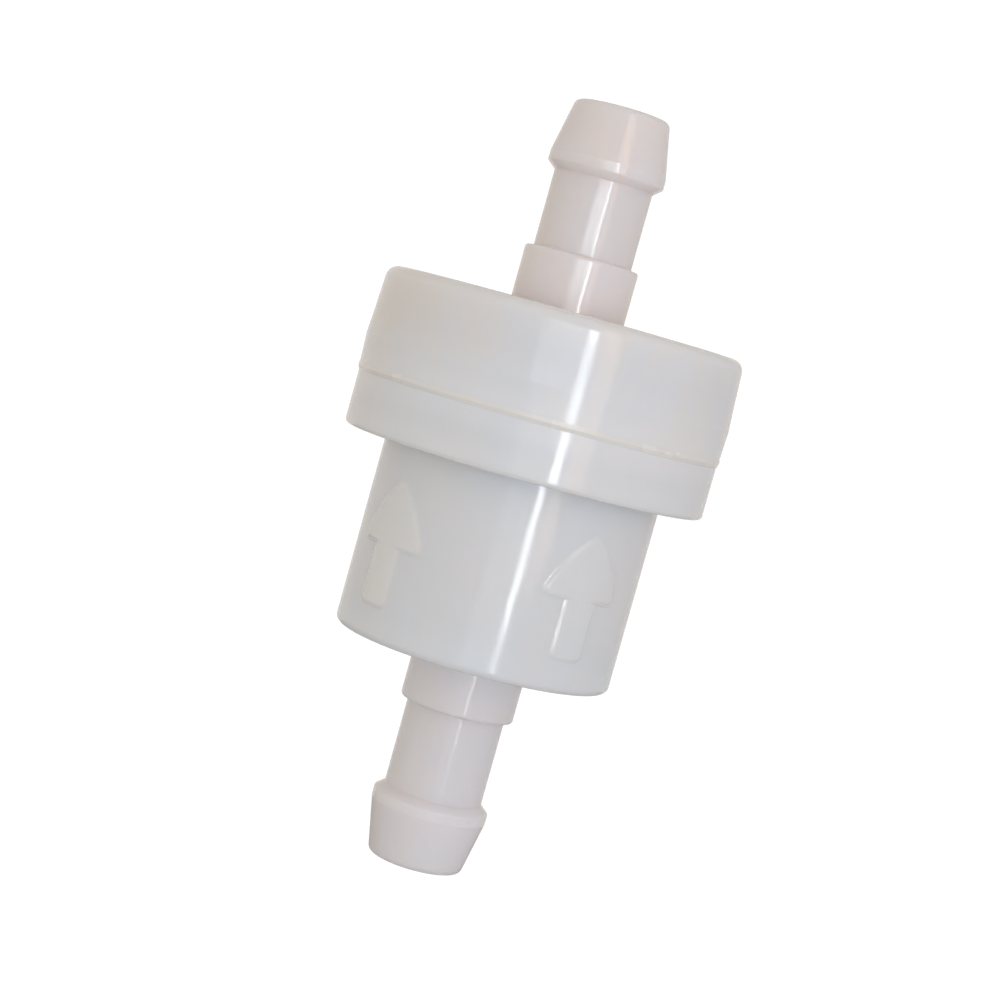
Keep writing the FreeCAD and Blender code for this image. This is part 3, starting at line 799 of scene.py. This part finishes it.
cap_shell.data.materials.append(cap_nylon)
bowl_shell.data.materials.append(bowl_nylon)
bead_ring.data.materials.append(bead_nylon)
for threads in cloth:
    threads.data.materials.append(cloth_nylon)
for name in ("strainer_core", "strainer_seat_ring", "strainer_end_cap"):
    for slot in nodes[name].material_slots:
        slot.material = inner_nylon
for slot in nodes["seat_seal"].material_slots:
    slot.material = seal_white
print("finishes:", ", ".join(m.name for m in bpy.data.materials))

# %% [markdown]
# ## Light
#
# A tall, narrow soft box a little to the right of the camera draws the sharp white line down
# every turned part, and a small one below it carries the line on to the lower barb. Because
# every wall here is round, a light's azimuth decides where its reflection lies across a wall,
# and its width decides how wide the line is. A flat, wide window far off shows mostly in the
# upper stem, with a thin line of its own on the left. Weaker cards add the cool sheen to the
# left of the white line and the peach band to the right of it.

# %% Area lights, placed by angle from the camera's direction
def area_light(name, azimuth, elevation, distance, size, radiance, colour):
    """A rectangle of light that faces the filter; azimuth is to the right of the front.

    A flat light of power P and area A has the radiance P / (pi A), so P is pi A times radiance.
    """
    light = bpy.data.lights.new(name, "AREA")
    light.shape = "RECTANGLE"
    light.size, light.size_y = size
    light.energy = math.pi * size[0] * size[1] * radiance
    light.color = colour
    lamp = bpy.data.objects.new(name, light)
    turn_z, tilt = math.radians(azimuth), math.radians(elevation)
    away = Vector((math.sin(turn_z) * math.cos(tilt), -math.cos(turn_z) * math.cos(tilt),
                   math.sin(tilt)))
    centre = Vector((0, 0, (bowl_low.z + cap_high.z) / 2))
    lamp.location = centre + away * distance
    lamp.rotation_euler = away.to_track_quat("Z", "Y").to_euler()
    bpy.context.scene.collection.objects.link(lamp)
    print(f"{name}: {light.energy:.2f} W")


NEAR, CARD, FAR = 0.5, 0.60, 2.0  # distances of the lights
area_light("strip", 19.3, -0.1, NEAR, (0.046, 0.145), 12.0, (0.93, 0.97, 1.0))
area_light("strip_foot", 19.3, -11.3, NEAR, (0.030, 0.020), 8.0, (0.93, 0.97, 1.0))
area_light("window", 5.0, 3.55, FAR, (0.80, 0.046), 12.0, (0.90, 0.95, 1.0))
area_light("window_edge", -9.3, 5.0, CARD, (0.007, 0.060), 12.0, (0.95, 0.97, 1.0))
area_light("cool_card", 4.5, -1.5, CARD, (0.27, 0.215), 0.72, (0.88, 0.94, 1.0))
area_light("warm_card", 31.0, 8.0, NEAR, (0.105, 0.25), 1.9, (1.0, 0.74, 0.56))
area_light("warm_top", 28.0, 27.5, NEAR, (0.16, 0.11), 2.2, (1.0, 0.70, 0.50))

# %% [markdown]
# ## Surroundings
#
# The rest of the light comes from a pale room, warmer on the left and cooler in front. It is a
# ring of colours by azimuth that fades into one ceiling colour. The camera itself sees plain
# white: the Light Path node tells its rays from the rays that light the filter.

# %% Surroundings
# Radiance of the room by azimuth in degrees, to the right of the front; the first is the back.
ROOM = (
    (-180, (0.79, 0.75, 0.72)),
    (-140, (0.80, 0.75, 0.70)),
    (-105, (0.81, 0.73, 0.64)),
    (-75, (0.75, 0.66, 0.57)),
    (-50, (0.61, 0.57, 0.53)),
    (-25, (0.53, 0.56, 0.61)),
    (0, (0.49, 0.55, 0.66)),
    (25, (0.49, 0.57, 0.70)),
    (50, (0.51, 0.59, 0.73)),
    (75, (0.48, 0.53, 0.63)),
    (105, (0.48, 0.47, 0.47)),
    (140, (0.62, 0.57, 0.54)),
)
CEILING = (0.52, 0.49, 0.45)
CEILING_FROM, CEILING_FULL = 0.0, 0.8  # height of a direction, from level at 0 to upright at 1
WHITE = 1.05  # what the camera sees behind the filter


def room_colour(tree):
    """The ring of colours by azimuth = atan2(x, -y), fading into the ceiling as z rises."""
    direction = tree.nodes.new("ShaderNodeTexCoord")
    parts = tree.nodes.new("ShaderNodeSeparateXYZ")
    tree.links.new(direction.outputs["Generated"], parts.inputs["Vector"])
    toward = math_node(tree, "MULTIPLY", parts.outputs["Y"], -1.0)
    azimuth = math_node(tree, "ARCTAN2", parts.outputs["X"], toward)
    share = math_node(tree, "MULTIPLY_ADD", azimuth, 0.5 / math.pi, 0.5)
    ring = tree.nodes.new("ShaderNodeValToRGB")
    stops = ring.color_ramp.elements
    stops[0].color = stops[1].color = (*ROOM[0][1], 1)
    for degrees, colour in ROOM[1:]:
        stops.new(degrees / 360 + 0.5).color = (*colour, 1)
    tree.links.new(share, ring.inputs["Fac"])
    rise = tree.nodes.new("ShaderNodeMapRange")
    rise.interpolation_type = "SMOOTHSTEP"
    rise.inputs["From Min"].default_value = CEILING_FROM
    rise.inputs["From Max"].default_value = CEILING_FULL
    tree.links.new(parts.outputs["Z"], rise.inputs["Value"])
    mix = tree.nodes.new("ShaderNodeMix")
    mix.data_type = "RGBA"
    tree.links.new(rise.outputs["Result"], mix.inputs["Factor"])
    tree.links.new(ring.outputs["Color"], mix.inputs[6])
    mix.inputs[7].default_value = (*CEILING, 1)
    return mix.outputs[2]


scene = bpy.context.scene
world = bpy.data.worlds.new("studio")
world.use_nodes = True
scene.world = world
scene.view_settings.view_transform = "Standard"
tree = world.node_tree
seen = tree.nodes["Background"]
seen.inputs["Color"].default_value = (1, 1, 1, 1)
seen.inputs["Strength"].default_value = WHITE
room = tree.nodes.new("ShaderNodeBackground")
path = tree.nodes.new("ShaderNodeLightPath")
blend = tree.nodes.new("ShaderNodeMixShader")
tree.links.new(room_colour(tree), room.inputs["Color"])
tree.links.new(path.outputs["Is Camera Ray"], blend.inputs["Fac"])
tree.links.new(room.outputs["Background"], blend.inputs[1])
tree.links.new(seen.outputs["Background"], blend.inputs[2])
tree.links.new(blend.outputs["Shader"], tree.nodes["World Output"].inputs["Surface"])

# %% [markdown]
# ## Floor
#
# The filter hangs between two hoses in use, so it doesn't stand on anything. A small pale
# floor lies well below it. It is kept small so that its reflection doesn't reach the upright
# walls. It gives off light for the camera's rays only, so the camera sees it plain white.

# %% Floor
FLOOR_DROP, FLOOR_HALF = 0.12, 0.45
floor_material, tree, shader = new_finish("white_floor")
shader.inputs["Base Color"].default_value = (0.6, 0.6, 0.6, 1)
shader.inputs["Roughness"].default_value = 0.9
shader.inputs["Emission Color"].default_value = (1, 1, 1, 1)
path = tree.nodes.new("ShaderNodeLightPath")
tree.links.new(path.outputs["Is Camera Ray"], shader.inputs["Emission Strength"])
corners = FLOOR_HALF * np.array([(-1, -1), (1, -1), (1, 1), (-1, 1)])
corners = np.column_stack((corners, np.full(4, bowl_low.z - FLOOR_DROP)))
floor = mesh_from("floor", corners, np.array([[0, 1, 2, 3]]))
floor.data.materials.append(floor_material)
floor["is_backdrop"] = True

# %% [markdown]
# ## The two boxes
#
# Last, we measure again what the filter fills, and keep both boxes. If the finished surfaces
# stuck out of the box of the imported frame, the numbers would show it.

# %% Keep both boxes, and finish
visual_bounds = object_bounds()
boxes = {"cad": [list(v) for v in cad_bounds], "visual": [list(v) for v in visual_bounds]}
for name, corners in boxes.items():
    print(f"{name} box in mm:", [[round(1000 * x, 2) for x in corner] for corner in corners])
